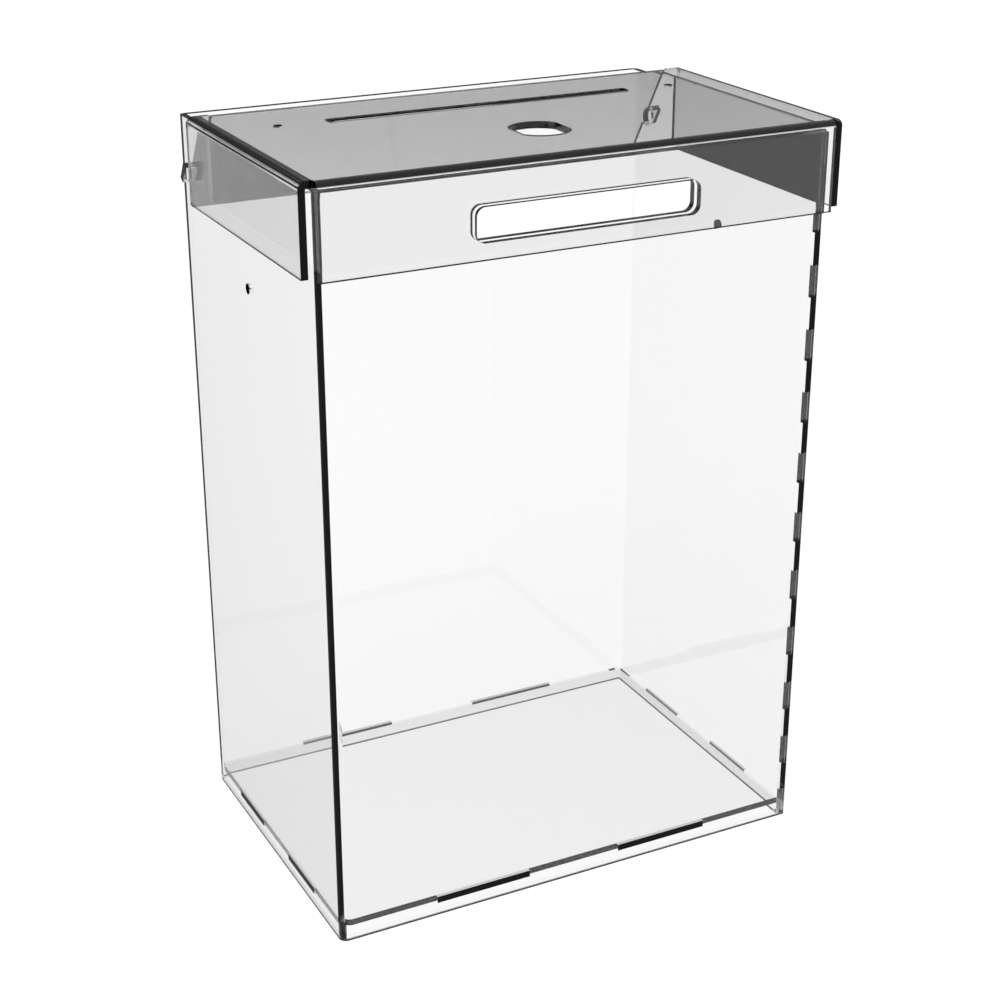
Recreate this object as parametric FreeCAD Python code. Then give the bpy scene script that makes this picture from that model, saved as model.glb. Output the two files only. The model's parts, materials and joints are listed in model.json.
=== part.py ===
"""Clear acrylic donation box: a wrapped wall sheet, a tabbed base panel and a bent lid on hinge tabs.

Millimetres. X runs left to right, Y front to back and Z up. The origin is on the table, in the middle of the
outline that the box and its overhanging lid make together.
"""
import FreeCAD, Part
import math
import os

# The sheet that all three pieces are cut from
SHEET = 4.0                    # thickness
BEND_INSIDE_R = 0.5            # inside radius of every hot line bend
GLUE_GAP = 0.1                 # room for cement in a glued joint

# Box, measured outside
BOX_WIDTH = 300.0              # left to right
BOX_DEPTH = 204.0              # front to back
WALL_HEIGHT = 432.0            # table to the top edge of the walls
FINGER_ROWS = 23               # fingers up the corner where the ends of the wall sheet meet

# Base panel
BASE_LIFT = 8.0                # table to the underside of the panel
BASE_CORNER_R = 4.0            # corners that stand in a bend
TABS_PER_EDGE = 2              # tabs and the plain lengths between them are equally long

# Hand-hold, alike in the front wall and in the lid's front flange
HANDHOLD_WIDTH = 132.0
HANDHOLD_HEIGHT = 18.8
HANDHOLD_CORNER_R = 5.0
HANDHOLD_BELOW_TOP = 15.8      # top edge of the wall to the upper edge of the opening

# Fastening holes in the side walls, at mid depth
SIDE_HOLE_D = 6.0
SIDE_HOLE_BELOW_TOP = 75.4     # top edge of the wall to the middle of the hole

# Lid
LID_LIFT = 2.7                 # top edge of the walls to the underside of the lid
FRONT_CLEARANCE = 2.6          # front wall to the inner face of the front flange
SIDE_CLEARANCE = 5.0           # side walls to the inner faces of the side flanges
FRONT_FLANGE_BELOW = 9.1       # lower edge of the hand-hold to the lower edge of the front flange
SIDE_FLANGE_BELOW = 7.8        # the same for the side flanges
FLANGE_END_PAST = 1.0          # end of a flange past the walls, at a front corner
SLOT_LENGTH = 188.0            # note slot, end to end
SLOT_WIDTH = 6.5
SLOT_FROM_BACK = 84.0          # back of the box to the middle of the slot
SIGN_HOLE_D = 5.0
SIGN_HOLE_SPACING = 244.0      # two holes in line with the slot
LOCK_HOLE_D = 34.5             # round hole with two flats, for a lock barrel
LOCK_HOLE_FLATS = 29.0         # from flat to flat
LOCK_HOLE_FROM_FRONT = 51.0    # front of the box to the middle of the hole

# Hinge: tabs on the lid's rear flap turn in round holes of the side walls
HINGE_HOLE_D = 12.0
HINGE_CLEARANCE = 0.1          # corners of a tab to the wall of its hole
HINGE_FROM_BACK = 21.0         # back of the box to the axis
HINGE_BELOW_TOP = 28.8         # top edge of the walls to the axis
TAB_PROUD = 6.0                # end of a tab past the outside of the box
FLAP_ANGLE = 58.0              # degrees that the flap is bent down from the lid's top
FLAP_SIDE_GAP = 1.5            # side walls to the ends of the flap
FLAP_END_GAP = 1.1             # back wall to the lower edge of the flap

CUT_PAST = 1.0                 # cutters run this far past the faces that they open

# Outer faces of the box, with the origin midway between the lid's front flange and the back wall
front_overhang = FRONT_CLEARANCE + SHEET
side_overhang = SIDE_CLEARANCE + SHEET
left = -BOX_WIDTH / 2
right = BOX_WIDTH / 2
front = (front_overhang - BOX_DEPTH) / 2
back = front + BOX_DEPTH
mid_depth = (front + back) / 2
bend_outside_r = BEND_INSIDE_R + SHEET

# Levels
handhold_top = WALL_HEIGHT - HANDHOLD_BELOW_TOP
handhold_bottom = handhold_top - HANDHOLD_HEIGHT
front_flange_bottom = handhold_bottom - FRONT_FLANGE_BELOW
side_flange_bottom = handhold_bottom - SIDE_FLANGE_BELOW
lid_underside = WALL_HEIGHT + LID_LIFT
lid_top = lid_underside + SHEET

# Hinge axis and rear flap: the middle of the flap's thickness lies on the axis
hinge_y = back - HINGE_FROM_BACK
hinge_z = WALL_HEIGHT - HINGE_BELOW_TOP
slope = math.radians(FLAP_ANGLE)
rear_y = hinge_y - ((lid_top - hinge_z) * math.cos(slope) - SHEET / 2) / math.sin(slope)
rear_bend_y = rear_y - bend_outside_r * math.tan(slope / 2)
flap_end_y = back - SHEET - FLAP_END_GAP
flap_end_z = lid_top - (flap_end_y - rear_y) * math.tan(slope)
tab_width = 2 * math.sqrt((HINGE_HOLE_D / 2 - HINGE_CLEARANCE) ** 2 - (SHEET / 2) ** 2)


def point(x, y, z):
    """A point or direction of the model."""
    return FreeCAD.Vector(x, y, z)


def block(x0, x1, y0, y1, z0, z1):
    """A square block between two corners."""
    return Part.makeBox(x1 - x0, y1 - y0, z1 - z0, point(x0, y0, z0))


def level_corners(x0, x1, y0, y1, z):
    """Corners of a level rectangle: front left, front right, back right, back left."""
    return [point(x0, y0, z), point(x1, y0, z), point(x1, y1, z), point(x0, y1, z)]


def outline(corners, radii):
    """A closed wire through the corners, each rounded by its own radius, where 0 leaves it square."""
    rounds = []
    for i, corner in enumerate(corners):
        to_last = (corners[i - 1] - corner).normalize()
        to_next = (corners[(i + 1) % len(corners)] - corner).normalize()
        half_angle = to_last.getAngle(to_next) / 2
        inward = (to_last + to_next).normalize()
        reach = radii[i] / math.tan(half_angle)
        crown = corner + inward * (radii[i] / math.sin(half_angle) - radii[i])
        rounds.append((corner + to_last * reach, crown, corner + to_next * reach))
    edges = []
    for i, (start, crown, end) in enumerate(rounds):
        last_end = rounds[i - 1][2]
        if not start.isEqual(last_end, Part.Precision.confusion()):
            edges.append(Part.makeLine(last_end, start))
        if radii[i] > 0:
            edges.append(Part.Arc(start, crown, end).toShape())
    return Part.Wire(edges)


def prism(corners, radii, along):
    """A rounded outline drawn out into a solid."""
    return Part.Face(outline(corners, radii)).extrude(along)


def bent_sheet(outside, along):
    """A sheet bent about lines that run along a vector, with the outside of its section through the points.

    The sheet lies on the right of the path for someone who looks against the vector.
    """
    axis = point(*along).normalize()
    inward = [(end - start).normalize().cross(axis) for start, end in zip(outside, outside[1:])]
    inside = [outside[0] + inward[0] * SHEET]
    for corner, before, after in zip(outside[1:], inward, inward[1:]):
        inside.append(corner + (before + after) * (SHEET / (1 + before.dot(after))))
    inside.append(outside[-1] + inward[-1] * SHEET)
    bends = len(outside) - 2
    radii = [0] + [bend_outside_r] * bends + [0, 0] + [BEND_INSIDE_R] * bends + [0]
    return prism(outside + inside[::-1], radii, along)


def handhold_cutter():
    """The hand-hold, cut through the front wall and the lid's front flange in one line."""
    y = front - front_overhang - CUT_PAST
    x = HANDHOLD_WIDTH / 2
    corners = [
        point(-x, y, handhold_bottom),
        point(x, y, handhold_bottom),
        point(x, y, handhold_top),
        point(-x, y, handhold_top),
    ]
    return prism(corners, [HANDHOLD_CORNER_R] * 4, point(0, front_overhang + SHEET + 2 * CUT_PAST, 0))


def cross_bore(diameter, y, z):
    """A bore through both side walls."""
    length = BOX_WIDTH + 2 * CUT_PAST
    return Part.makeCylinder(diameter / 2, length, point(left - CUT_PAST, y, z), point(1, 0, 0))


def base_tabs(room):
    """The base panel's tabs, flush with the outside of the walls, with room round them for their slots."""
    spaces = 2 * TABS_PER_EDGE + 1
    z0 = BASE_LIFT - room
    z1 = BASE_LIFT + SHEET + room
    reach = 2 * SHEET
    tabs = []
    for i in range(1, spaces, 2):
        x0 = left + BOX_WIDTH * i / spaces - room
        x1 = left + BOX_WIDTH * (i + 1) / spaces + room
        y0 = front + BOX_DEPTH * i / spaces - room
        y1 = front + BOX_DEPTH * (i + 1) / spaces + room
        tabs.append(block(x0, x1, front - room, front + reach, z0, z1))
        tabs.append(block(x0, x1, back - reach, back + room, z0, z1))
        tabs.append(block(left - room, left + reach, y0, y1, z0, z1))
        tabs.append(block(right - reach, right + room, y0, y1, z0, z1))
    return tabs


def finger_glue_line():
    """The thin gap that zigzags up the front right corner, between the two ends of the wall sheet."""
    row = WALL_HEIGHT / FINGER_ROWS
    inner_x = right - SHEET
    inner_y = front + SHEET
    gaps = []
    for i in range(FINGER_ROWS):
        z = i * row
        if i % 2:
            gaps.append(block(inner_x - GLUE_GAP, inner_x, front - CUT_PAST, inner_y, z, z + row))
        else:
            gaps.append(block(inner_x, right + CUT_PAST, inner_y, inner_y + GLUE_GAP, z, z + row))
    for i in range(1, FINGER_ROWS):
        z = i * row - GLUE_GAP / 2
        x0 = inner_x - GLUE_GAP
        y1 = inner_y + GLUE_GAP
        gaps.append(block(x0, right + CUT_PAST, front - CUT_PAST, y1, z, z + GLUE_GAP))
    return gaps


def wall_wrap():
    """Front, left, back and right walls: one sheet, bent at three corners and finger-jointed at one."""
    up = point(0, 0, WALL_HEIGHT)
    outer = prism(
        level_corners(left, right, front, back, 0),
        [bend_outside_r, 0, bend_outside_r, bend_outside_r],
        up,
    )
    inner = prism(
        level_corners(left + SHEET, right - SHEET, front + SHEET, back - SHEET, 0),
        [BEND_INSIDE_R, 0, BEND_INSIDE_R, BEND_INSIDE_R],
        up,
    )
    openings = [
        handhold_cutter(),
        cross_bore(HINGE_HOLE_D, hinge_y, hinge_z),
        cross_bore(SIDE_HOLE_D, mid_depth, WALL_HEIGHT - SIDE_HOLE_BELOW_TOP),
    ]
    return outer.cut(inner).cut(openings + base_tabs(GLUE_GAP) + finger_glue_line())


def base_panel():
    """The floor of the box, held by its tabs in the slots of the four walls."""
    inset = SHEET + GLUE_GAP
    panel = prism(
        level_corners(left + inset, right - inset, front + inset, back - inset, BASE_LIFT),
        [BASE_CORNER_R, 0, BASE_CORNER_R, BASE_CORNER_R],
        point(0, 0, SHEET),
    )
    return panel.fuse(base_tabs(0)).removeSplitter()


def hinge_tabs():
    """A bar on the hinge axis, in the plane of the flap, whose two ends are the hinge tabs."""
    bar = block(left - TAB_PROUD, right + TAB_PROUD, -tab_width / 2, tab_width / 2, -SHEET / 2, SHEET / 2)
    bar.rotate(point(0, 0, 0), point(1, 0, 0), -FLAP_ANGLE)
    bar.translate(point(0, hinge_y, hinge_z))
    return bar


def lid_openings():
    """Cutters for the note slot, the two sign holes, the lock hole and the hand-hold."""
    z = lid_underside - CUT_PAST
    up = point(0, 0, SHEET + 2 * CUT_PAST)
    slot_y = back - SLOT_FROM_BACK
    lock_y = front + LOCK_HOLE_FROM_FRONT
    slot_corners = level_corners(
        -SLOT_LENGTH / 2, SLOT_LENGTH / 2, slot_y - SLOT_WIDTH / 2, slot_y + SLOT_WIDTH / 2, z
    )
    slot = prism(slot_corners, [SLOT_WIDTH / 2] * 4, up)
    sign_holes = [
        Part.makeCylinder(SIGN_HOLE_D / 2, up.Length, point(side * SIGN_HOLE_SPACING / 2, slot_y, z))
        for side in (-1, 1)
    ]
    lock_round = Part.makeCylinder(LOCK_HOLE_D / 2, up.Length, point(0, lock_y, z))
    lock_flats = block(
        -LOCK_HOLE_FLATS / 2,
        LOCK_HOLE_FLATS / 2,
        lock_y - LOCK_HOLE_D,
        lock_y + LOCK_HOLE_D,
        z,
        z + up.Length,
    )
    return [slot, lock_round.common(lock_flats), handhold_cutter()] + sign_holes


def lid():
    """One sheet: top, three flanges outside the walls, and the rear flap with its hinge tabs inside them."""
    flange_y = front - front_overhang
    relief_y = front - FLANGE_END_PAST
    relief_x = right + FLANGE_END_PAST
    flap_x = right - SHEET - FLAP_SIDE_GAP
    flange_x = right + side_overhang

    side_flanges = bent_sheet(
        [
            point(-flange_x, rear_y, side_flange_bottom),
            point(-flange_x, rear_y, lid_top),
            point(flange_x, rear_y, lid_top),
            point(flange_x, rear_y, side_flange_bottom),
        ],
        point(0, relief_y - rear_y, 0),
    )
    front_flange = bent_sheet(
        [
            point(-relief_x, flange_y, front_flange_bottom),
            point(-relief_x, flange_y, lid_top),
            point(-relief_x, rear_bend_y, lid_top),
        ],
        point(2 * relief_x, 0, 0),
    )
    flap = bent_sheet(
        [
            point(-flap_x, relief_y, lid_top),
            point(-flap_x, rear_y, lid_top),
            point(-flap_x, flap_end_y, flap_end_z),
        ],
        point(2 * flap_x, 0, 0),
    )
    flap_recess = block(
        left + SHEET,
        right - SHEET,
        rear_bend_y,
        rear_y + CUT_PAST,
        lid_underside - CUT_PAST,
        lid_top + CUT_PAST,
    )
    sheet = side_flanges.cut(flap_recess).fuse([front_flange, flap, hinge_tabs()])
    return sheet.cut(lid_openings()).removeSplitter()


os.makedirs("parts", exist_ok=True)
for make_piece in (wall_wrap, base_panel, lid):
    piece = make_piece()
    piece.exportStep(os.path.join("parts", make_piece.__name__ + ".step"))
    print(make_piece.__name__, len(piece.Solids), "solid,", round(piece.Volume), "mm3")
    print("valid:", piece.isValid())
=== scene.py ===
# %% [markdown]
# A clear acrylic donation box. Three sheets make it: a wall that wraps round four sides, a base panel on
# tabs, and a bent lid that turns on its own hinge tabs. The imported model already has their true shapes, so
# this lesson is about the finish: how see-through sheet shows its form by its edges, its bends and what it
# mirrors.

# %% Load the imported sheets
import json
import math

import bpy
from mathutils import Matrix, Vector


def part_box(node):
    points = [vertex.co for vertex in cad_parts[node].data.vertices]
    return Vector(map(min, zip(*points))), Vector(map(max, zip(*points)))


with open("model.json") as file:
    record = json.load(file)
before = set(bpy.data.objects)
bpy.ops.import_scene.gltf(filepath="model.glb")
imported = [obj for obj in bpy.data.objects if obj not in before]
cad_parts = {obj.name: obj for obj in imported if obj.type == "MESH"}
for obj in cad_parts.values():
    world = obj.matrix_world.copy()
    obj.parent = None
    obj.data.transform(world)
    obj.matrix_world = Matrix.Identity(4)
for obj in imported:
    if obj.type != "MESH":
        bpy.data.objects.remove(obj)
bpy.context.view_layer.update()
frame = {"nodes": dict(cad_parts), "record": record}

sheets = frame["nodes"]
print("sheets:", sorted(sheets))

# %% [markdown]
# The camera could be set by eye, but the box has many straight edges, so its place was worked out from
# where those edges would meet in the distance. It stands to the left of the front, looks down at 23 degrees
# and has a short telephoto lens. Its place is counted from the bottom front left corner of the walls, which
# is easy to find again.

# %% Set up the camera
TURN = -27.015          # degrees about the upright axis
TILT = 22.978           # degrees down
LENS = 71.3             # millimetres, on a sensor of the width below
SENSOR = 36.0
CAMERA_FROM_CORNER = (-0.34433, -0.87199, 0.66765)  # metres

wall_low, wall_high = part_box("wall_wrap")
camera_data = bpy.data.cameras.new("camera")
camera_data.lens = LENS
camera_data.sensor_width = SENSOR
camera = bpy.data.objects.new("camera", camera_data)
camera.location = [corner + step for corner, step in zip(wall_low, CAMERA_FROM_CORNER)]
camera.rotation_euler = (math.radians(90 - TILT), 0, math.radians(TURN))
bpy.context.collection.objects.link(camera)
bpy.context.scene.camera = camera
print("camera at", [round(place, 3) for place in camera.location])

# %% [markdown]
# Shader maths reads best as maths. This small class wraps one socket of a node tree. Python's own operators
# add the Math nodes, also with a plain number on the left, and one method adds any other node.


# %% A socket to calculate with
class Flow:
    """One socket of a node tree, for use in expressions."""

    def __init__(self, tree, socket=None):
        self.tree = tree
        self.socket = socket

    def add(self, kind, output=None, settings=None, inputs=None):
        """Adds a node, first its settings, then its sockets' values or links, and gives an output."""
        node = self.tree.nodes.new(kind)
        for name, value in (settings or {}).items():
            setattr(node, name, value)
        for name, value in (inputs or {}).items():
            if isinstance(value, Flow):
                self.tree.links.new(value.socket, node.inputs[name])
            else:
                node.inputs[name].default_value = value
        return Flow(self.tree, node.outputs[output] if output else None)

    def math(self, operation, *values):
        """A Math node on some values."""
        return self.add("ShaderNodeMath", "Value", {"operation": operation}, dict(enumerate(values)))

    def __add__(self, other):
        return self.math("ADD", self, other)

    def __radd__(self, other):
        return self.math("ADD", other, self)

    def __sub__(self, other):
        return self.math("SUBTRACT", self, other)

    def __rsub__(self, other):
        return self.math("SUBTRACT", other, self)

    def __mul__(self, other):
        return self.math("MULTIPLY", self, other)

    def __rmul__(self, other):
        return self.math("MULTIPLY", other, self)

    def __abs__(self):
        return self.math("ABSOLUTE", self)

    def lower(self, other):
        """The lower of two values."""
        return self.math("MINIMUM", self, other)

    def higher(self, other):
        """The higher of two values."""
        return self.math("MAXIMUM", self, other)

    def above(self, limit):
        """1 above the limit and 0 below it."""
        return self.math("GREATER_THAN", self, limit)

    def rise(self, start, end):
        """0 up to start, 1 from end on, and smooth in between."""
        inputs = {"Value": self, "From Min": start, "From Max": end}
        return self.add("ShaderNodeMapRange", "Result", {"interpolation_type": "SMOOTHSTEP"}, inputs)


def new_tree(owner):
    """The emptied node tree of a material or world."""
    owner.use_nodes = True
    owner.node_tree.nodes.clear()
    return Flow(owner.node_tree)


print("shader maths ready")

# %% [markdown]
# A sheet of acrylic has two kinds of surface. Its broad faces are polished as they come from the caster. Its
# cut edges are what a laser or saw left, and they look dark, because light that enters there runs on inside
# the sheet; here that dark is painted shade in the edges' colour. Faces could be picked one by one, but the
# place alone tells which is which: a point that lies inside the sheet's thickness, and not on one of its
# faces, is on a cut edge.

# %% Depth in a sheet
base_low, base_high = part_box("base_panel")
SHEET = base_high.z - base_low.z    # the base panel lies flat, so its height is the thickness
BEND_INSIDE = 0.0005                # inner radius of a bend
BEND = SHEET + BEND_INSIDE          # outer radius of a bend
SKIN = 0.00025                      # a face's margin, in which an edge fades in
# Painted shade on cut edges, as a share of the light that it holds back.
EDGE_SHADE = 0.94                    # share of the light that a cut edge holds back


def position(tree):
    """The X, Y and Z of the point that is shaded."""
    place = tree.add("ShaderNodeTexCoord", "Object")
    return [tree.add("ShaderNodeSeparateXYZ", axis, None, {"Vector": place}) for axis in "XYZ"]


def within_sheet(depth):
    """1 where a depth lies between the two faces of the sheet."""
    return depth.rise(0, SKIN) * (1 - depth.rise(SHEET - SKIN, SHEET))


# Painted shade: edges on the front and left sides of a piece are painted darker.
def shaded_side(x, y, low):
    """1 on the front and left sides of a piece, where the photograph has the darker edges."""
    return 1 - (x - low.x).lower(y - low.y).above(2 * SHEET)


print("sheet", round(SHEET * 1000, 2), "mm thick, bends", round(BEND * 1000, 2), "mm outside")

# %% [markdown]
# The wall's cut edges are its top, its holes and the slots for the base. How dark an edge looks depends on
# what it mirrors, so each share of painted shade was fitted to the photograph: the inner half of the top
# edge stays clear, a thin rim of painted shade runs along the bottom of the faces that look to the front
# left, and the bent front corner has a foot of painted shade. Cuts at the corners stay clear, because cement
# fills the finger joint there.

# %% Painted shade on the wall's edges
# Painted shade: a rim along the bottom of the wall and a foot at its bent front corner.
WALL_SHADE_RIM = 0.0016           # height of the dark rim that the wall stands on
FOOT_SHADE_WIDTH = 0.75 * BEND    # how far the dark foot of the corner reaches round its bend


def wall_edge_shade(tree):
    """Painted shade on wall edges away from the corners, the rim it stands on and the foot of its bend."""
    x, y, z = position(tree)
    side_depth = (wall_high.x - wall_low.x) / 2 - abs(x)
    front_depth = y - wall_low.y
    back_depth = wall_high.y - y
    depth = side_depth.lower(front_depth).lower(back_depth)
    corner = 1 - side_depth.higher(front_depth.lower(back_depth)).above(BEND)
    outer = 1 - depth.above(SHEET / 2)
    polished = z.above(wall_high.z - SKIN) * (1 - outer)
    cut_and_shade = within_sheet(depth) * (1 - corner) * z.above(SKIN) * (1 - polished)
    front_left_face = 1 - abs(outer - shaded_side(x, y, wall_low))
    # Painted shade along the bottom of the front and left faces, and at the foot of the front bend.
    rim = (1 - z.rise(WALL_SHADE_RIM / 2, WALL_SHADE_RIM)) * front_left_face
    fold = 1 - (x - wall_low.x + front_depth).above(FOOT_SHADE_WIDTH)
    foot = fold * (1 - z.rise(base_high.z, base_high.z + SHEET))
    return (cut_and_shade * EDGE_SHADE).higher(rim).higher(foot)


print("wall rim", WALL_SHADE_RIM * 1000, "mm high")

# %% [markdown]
# The base panel is seen through the walls, and its tabs fill slots in them. On the photograph the tabs are
# dark, the near edges grey, and the far edges only thin lines, so the tabs and the near edges get painted
# shade. The tabs could be split off as pieces of their own, but they are one with the panel, so a depth from
# the tabs' ends finds them.

# %% Painted shade on the edges of the base panel
# Painted shade on the base's near edges, as a share of the light that it holds back.
BASE_EDGE_SHADE = 0.7    # share of the light that a near edge holds back
GLUE_GAP = 0.0001       # between the base panel and the walls


def base_edge_shade(tree):
    """Painted shade on the base panel's near edges, and on those of the tabs that stand in the wall."""
    x, y, z = position(tree)
    from_tab_ends = (base_high.x - abs(x)).lower(y - base_low.y).lower(base_high.y - y)
    in_slot = 1 - from_tab_ends.above(SHEET - GLUE_GAP)
    # Painted shade on the near sides and on the tabs in their slots.
    dark = (shaded_side(x, y, base_low) * BASE_EDGE_SHADE).higher(in_slot * EDGE_SHADE)
    return within_sheet(base_high.z - z) * dark


print("base panel", [round(side, 4) for side in base_high - base_low], "m over its tabs")

# %% [markdown]
# The lid is one sheet in five planes: a top, three flanges and a sloping flap. It could get a material for
# each plane, but its mesh is one piece, so each plane has a depth of its own instead, and the bends between
# them are left clear. The slot reads broader on the photograph than it is cut here, so a rim of painted
# shade runs along its long sides, and the lid's cut edges get painted shade as well.

# %% Painted shade on the edges of the lid
FLAP_ANGLE = math.radians(58)   # the rear flap, down from level
SLOT_LENGTH = 0.188             # note slot
SLOT_WIDTH = 0.0065
# Painted shade runs in a rim beside the slot.
SLOT_SHADE_RIM = 0.0012               # width of the dark rim beside it

lid_low, lid_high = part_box("lid")
hinge = frame["record"]["behaviour"]["joints"][0]["pos_m"]
mount_places = {mount["name"]: mount["pos_m"] for mount in frame["record"]["mounts"]}
slot_y = mount_places["sign_holes"][1]      # the small holes are in line with the slot


def lid_edge_shade(tree):
    """Painted shade on lid edges: top, flanges below the bends, sloping flap, and a rim beside the slot."""
    x, y, z = position(tree)
    top_depth = lid_high.z - z
    side_depth = lid_high.x - abs(x)
    front_depth = y - lid_low.y
    behind_hinge = (y - hinge[1]) * math.sin(FLAP_ANGLE)
    above_hinge = (z - hinge[2]) * math.cos(FLAP_ANGLE)
    flap_depth = SHEET / 2 - behind_hinge - above_hinge
    flat = side_depth.above(BEND) * front_depth.above(BEND)
    upright = top_depth.above(BEND)
    flanges = within_sheet(side_depth).higher(within_sheet(front_depth))
    cut_and_shade = (within_sheet(top_depth) * flat).higher(flanges.higher(within_sheet(flap_depth)) * upright)
    # Painted shade on the cut edges and in a rim beside the slot.
    beside_slot = (abs(x) + SLOT_SHADE_RIM - SLOT_LENGTH / 2).higher(abs(y - slot_y) - SLOT_WIDTH / 2)
    return cut_and_shade.higher(1 - beside_slot.rise(SLOT_SHADE_RIM / 2, SLOT_SHADE_RIM)) * EDGE_SHADE


print("lid hinge at", [round(place, 4) for place in hinge], "and slot at", round(slot_y, 4))

# %% [markdown]
# Clear acrylic bends light a little less than glass and takes away very little of it, so the shader is
# Principled with full transmission. On the real thing the faces carry faint wipe marks and a long, shallow
# wave from casting, and the cut edges the fine upright streaks of the laser. An image could hold them, but
# noise that is stretched by a count for each direction needs no unwrapping. The marks stay faint, because it
# is the clearness that makes the box.

# %% Marks on the acrylic
WIPE_COUNT = (40, 40, 9)            # wipe marks in a metre, drawn out upwards
WIPE_DETAIL = 4.0
WIPE_GRAIN = 0.6
STREAK_COUNT = (2400, 2400, 120)    # laser streaks in a metre, drawn out upwards
STREAK_DETAIL = 2.0
WAVE_COUNT = (14, 14, 14)           # casting waves in a metre
WAVE_DETAIL = 1.0
SMOOTH_GRAIN = 0.5


def marks(tree, place, count, detail, grain):
    """Noise with a count of marks in a metre for each direction."""
    stretched = tree.add("ShaderNodeMapping", "Vector", None, {"Vector": place, "Scale": count})
    inputs = {"Vector": stretched, "Scale": 1.0, "Detail": detail, "Roughness": grain}
    return tree.add("ShaderNodeTexNoise", "Fac", None, inputs)


print("wipe marks", WIPE_COUNT, "streaks", STREAK_COUNT, "and waves", WAVE_COUNT, "to the metre")

# %% [markdown]
# The finish itself is the same for all three sheets, and only the function that finds the cut edges and the
# painted shade differs, so one function makes the material and takes the other as a value. Cut edges are
# rougher and carry painted shade that lets less light through, wipe marks dull a face a little, and the wave
# bends what is seen through it.

# %% Clear acrylic
INDEX = 1.49                # refraction of acrylic
FACE_CLEAR = 0.99           # light that passes one face
LEAST_CLEAR = 0.005         # light that passes the darkest rim
# Painted shade on edges: an even share and a share that follows the streaks.
EVEN_SHADE_SHARE = 0.85           # share of an edge's darkness that is even
STREAKED_SHADE_SHARE = 0.3          # share that comes with its streaks
WIPE_SHOWS = (0.55, 0.8)    # noise at which a wipe mark begins, and is full
WIPE_ROUGH = 0.012          # roughness of a full wipe mark
STREAK_ROUGH = 0.12         # roughness of a full streak
WAVE_HEIGHT = 0.3           # height of the wave, where a streak is 1
BUMP_STRENGTH = 0.06
BUMP_HEIGHT = 0.0004        # metres, of a streak


def clear_acrylic(name, edges):
    """The sheet's finish, with edges and painted shade where a function of the tree says so."""
    material = bpy.data.materials.new(name)
    tree = new_tree(material)
    cut_and_shade = edges(tree)
    place = tree.add("ShaderNodeTexCoord", "Object")
    wipe = marks(tree, place, WIPE_COUNT, WIPE_DETAIL, WIPE_GRAIN)
    streaks = marks(tree, place, STREAK_COUNT, STREAK_DETAIL, SMOOTH_GRAIN)
    wave = marks(tree, place, WAVE_COUNT, WAVE_DETAIL, SMOOTH_GRAIN)
    # The colour carries painted shade on cut edges and rims, so less light passes there.
    clear = (FACE_CLEAR * (1 - cut_and_shade * (EVEN_SHADE_SHARE + streaks * STREAKED_SHADE_SHARE))).higher(LEAST_CLEAR)
    colour = tree.add("ShaderNodeCombineColor", "Color", None, {
        "Red": clear,
        "Green": clear,
        "Blue": clear,
    })
    bump = tree.add("ShaderNodeBump", "Normal", None, {
        "Height": wave * (1 - cut_and_shade) * WAVE_HEIGHT + streaks * cut_and_shade,
        "Strength": BUMP_STRENGTH,
        "Distance": BUMP_HEIGHT,
    })
    shader = tree.add("ShaderNodeBsdfPrincipled", "BSDF", None, {
        "Base Color": colour,
        "Roughness": wipe.rise(*WIPE_SHOWS) * WIPE_ROUGH + cut_and_shade * streaks * STREAK_ROUGH,
        "Normal": bump,
        "IOR": INDEX,
        "Transmission Weight": 1.0,
    })
    tree.add("ShaderNodeOutputMaterial", None, None, {"Surface": shader})
    return material


for node, edges in (("wall_wrap", wall_edge_shade), ("base_panel", base_edge_shade), ("lid", lid_edge_shade)):
    sheet = sheets[node].data
    sheet.materials.clear()
    sheet.materials.append(clear_acrylic(node + "_acrylic", edges))
    print(node, "is clear acrylic,", len(sheet.polygons), "faces")

# %% [markdown]
# A clear box shows what stands round it. The studio's pale floor runs out of sight. Strong lamps could make
# it white, but they would light the box too, so most of its white is a glow of its own, which is shown
# straight and through the sheets. Mirrors show a fifth of it, which keeps the lid's flanges nearly as grey
# as on the photograph, and a little paint takes the lamp's light and holds the shadow.

# %% Floor
FLOOR_REACH = 8.0       # metres from the middle to each side
FLOOR_GLOW = 0.985      # light of its own, as the eye sees it
FLOOR_PAINT = 0.1       # light that it throws back, which holds the shadow
MIRRORED = 0.2          # share of the white that a mirror shows


def shown(tree, mirrored):
    """1 for what is seen straight or through the sheets, a share of it in mirrors, 0 for light on things."""
    eye = tree.add("ShaderNodeLightPath", "Is Camera Ray")
    gloss = tree.add("ShaderNodeLightPath", "Is Glossy Ray")
    glass = tree.add("ShaderNodeLightPath", "Is Transmission Ray")
    return eye.higher(glass).higher(gloss * mirrored)


corners = [(-1, -1), (1, -1), (1, 1), (-1, 1)]
floor_mesh = bpy.data.meshes.new("floor")
floor_mesh.from_pydata([(x * FLOOR_REACH, y * FLOOR_REACH, 0) for x, y in corners], [], [range(4)])
floor = bpy.data.objects.new("floor", floor_mesh)
bpy.context.collection.objects.link(floor)

floor_paint = bpy.data.materials.new("floor_paint")
tree = new_tree(floor_paint)
pale = (FLOOR_PAINT, FLOOR_PAINT, FLOOR_PAINT, 1)
paint = tree.add("ShaderNodeBsdfDiffuse", "BSDF", None, {"Color": pale})
glow = tree.add("ShaderNodeEmission", "Emission", None, {"Strength": shown(tree, MIRRORED) * FLOOR_GLOW})
lit = tree.add("ShaderNodeAddShader", "Shader", None, {0: paint, 1: glow})
tree.add("ShaderNodeOutputMaterial", None, None, {"Surface": lit})
floor_mesh.materials.append(floor_paint)
print("floor", 2 * FLOOR_REACH, "m across")

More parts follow.
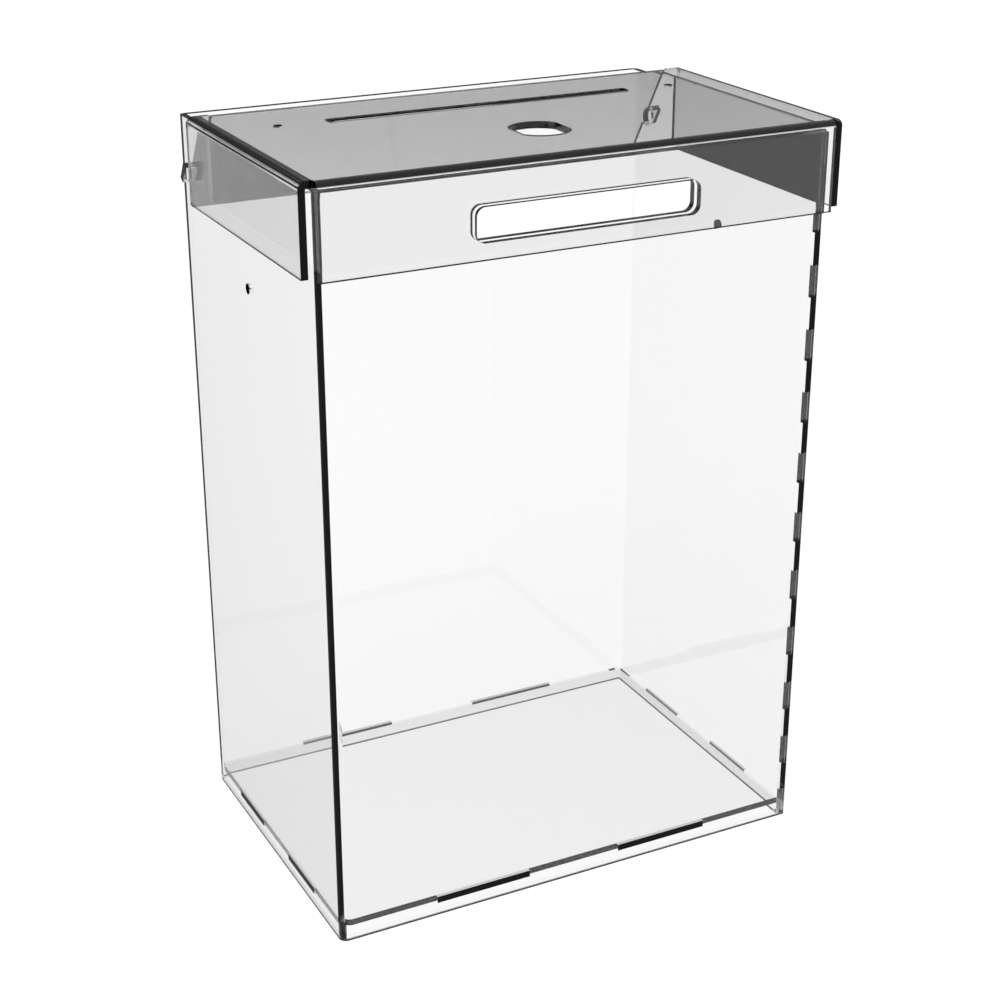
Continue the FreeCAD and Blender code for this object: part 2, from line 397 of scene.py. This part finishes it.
# %% [markdown]
# Above the floor the studio has a white backdrop, then a dark stretch of wall, then a broad soft light
# overhead. An image of a real studio could wrap the world, but three bands by height do the same: the dark
# one greys the lid, which mirrors it at a flat angle, and the light one clears the base, which mirrors what
# is higher up. What the camera sees straight is white at every height.

# %% Studio round the box
WHITE = (1, 1, 1, 1)
BACKDROP_EDGE = (0.02, 0.2)     # heights, 0 level and 1 overhead, between which dark wall takes over
DARK_WALL = 0.145               # brightness of that wall
SOFT_LIGHT_EDGE = (0.35, 0.5)   # heights between which the soft light begins
SOFT_LIGHT = 0.68               # its brightness
ROOM_LIGHT = 0.48               # even light on the floor

studio = bpy.data.worlds.new("studio")
bpy.context.scene.world = studio
tree = new_tree(studio)
direction = tree.add("ShaderNodeTexCoord", "Generated")
height = tree.add("ShaderNodeSeparateXYZ", "Z", None, {"Vector": direction})
eye = tree.add("ShaderNodeLightPath", "Is Camera Ray")
beyond = height.rise(*BACKDROP_EDGE)
upper = (beyond * DARK_WALL).higher(height.rise(*SOFT_LIGHT_EDGE) * SOFT_LIGHT)
backdrop = shown(tree, MIRRORED) * (1 - beyond) + shown(tree, 1.0) * upper
room = (1 - shown(tree, 1.0)) * ROOM_LIGHT
background = tree.add("ShaderNodeBackground", "Background", None, {
    "Color": WHITE,
    "Strength": eye.higher(backdrop + room),
})
tree.add("ShaderNodeOutputWorld", None, None, {"Surface": background})
print("studio: dark wall from", BACKDROP_EDGE[1], "up and soft light from", SOFT_LIGHT_EDGE[1])

# %% [markdown]
# Where several sheets lie behind each other, the photograph goes nearly black. Dimmer light would grey the
# whole box, but a renderer counts each face that a ray passes as a bounce, so a low limit darkens those
# places alone. One soft lamp from the front left is enough for the floor's shadow.

# %% Bounces and a soft lamp
BOUNCES = 5
LAMP_PLACE = (-1.4, -1.2, 2.4)
LAMP_SIDE = 1.2
LAMP_POWER = 30

rendering = bpy.context.scene.cycles
rendering.max_bounces = BOUNCES
rendering.transmission_bounces = BOUNCES
rendering.glossy_bounces = BOUNCES
bpy.context.scene.view_settings.view_transform = "Standard"

lamp_data = bpy.data.lights.new("soft_lamp", "AREA")
lamp_data.size = LAMP_SIDE
lamp_data.energy = LAMP_POWER
lamp = bpy.data.objects.new("soft_lamp", lamp_data)
lamp.location = LAMP_PLACE
lamp.rotation_euler = (-lamp.location).to_track_quat("-Z", "Y").to_euler()
bpy.context.collection.objects.link(lamp)
print("up to", BOUNCES, "bounces and one lamp of", LAMP_POWER, "W")
